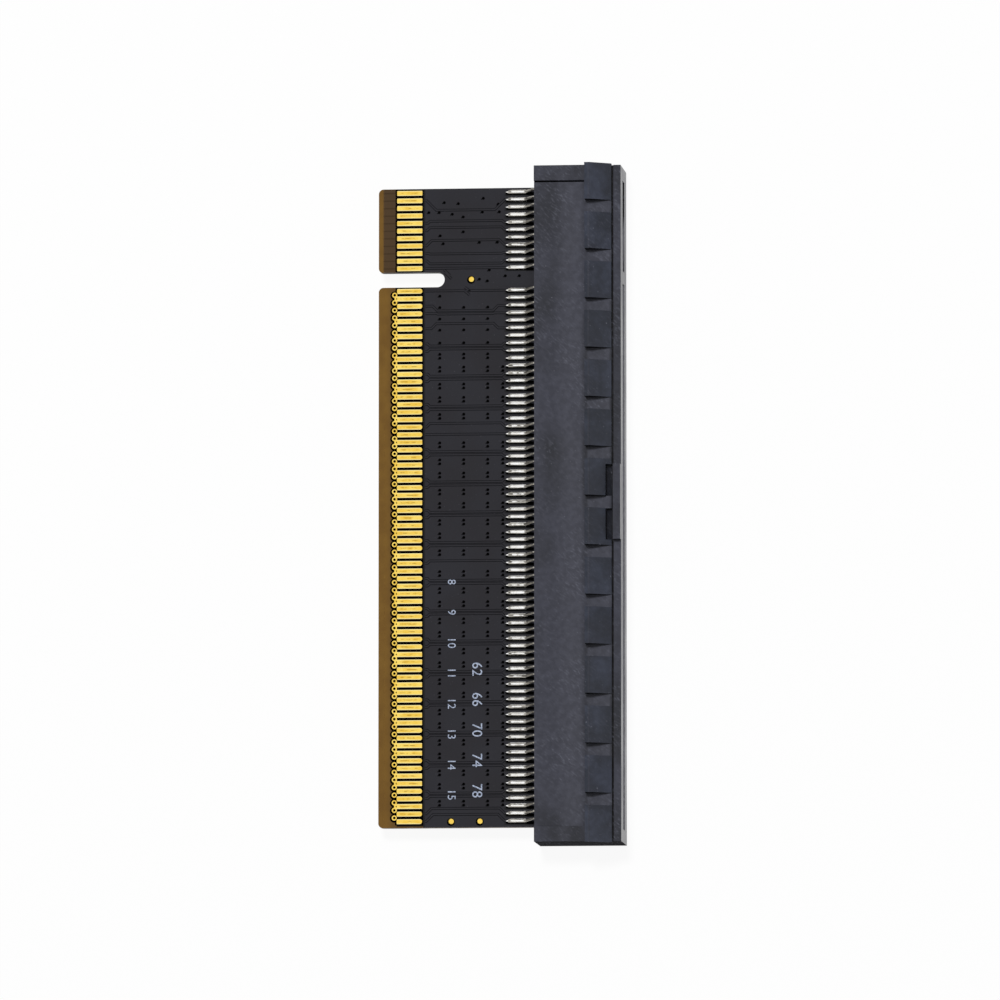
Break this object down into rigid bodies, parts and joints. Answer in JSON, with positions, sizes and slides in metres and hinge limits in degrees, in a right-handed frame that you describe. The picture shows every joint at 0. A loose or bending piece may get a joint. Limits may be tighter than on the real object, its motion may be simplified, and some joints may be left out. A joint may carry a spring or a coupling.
{
  "type": "riser card",
  "caption": "Straight x16 riser card: a slim circuit board with gold edge fingers and a key notch on one edge and a black straddle-mount slot connector soldered to the other.",
  "frame": {"origin": "centre of the part's footprint, on the underside of the slot housing", "axes": "+X from the finger edge to the slot's mouth, the way a card leaves the slot; +Y along the pin row towards the short group; +Z out of the front face"},
  "size_m": [0.0324, 0.0894, 0.0102],
  "materials": {
    "laminate": "satin, bare glass-fibre laminate",
    "mask": "satin black solder mask",
    "housing": "matte moulded black plastic",
    "gold": "polished gold plating",
    "solder": "bright tin solder",
    "contact": "tinned copper alloy"
  },
  "bodies": {
    "root": {"circuit_board": "laminate", "solder_mask_front": "mask", "solder_mask_back": "mask", "connector_housing": "housing", "test_points": "gold", "edge_fingers_front_short": "gold", "edge_fingers_front_long": "gold", "edge_fingers_back_short": "gold", "edge_fingers_back_long": "gold", "solder_joints_front_short": "solder", "solder_joints_front_long": "solder", "solder_joints_back_short": "solder", "solder_joints_back_long": "solder", "contacts_front_short": "contact", "contacts_front_long": "contact", "contacts_back_short": "contact", "contacts_back_long": "contact"}
  },
  "joints": []
}
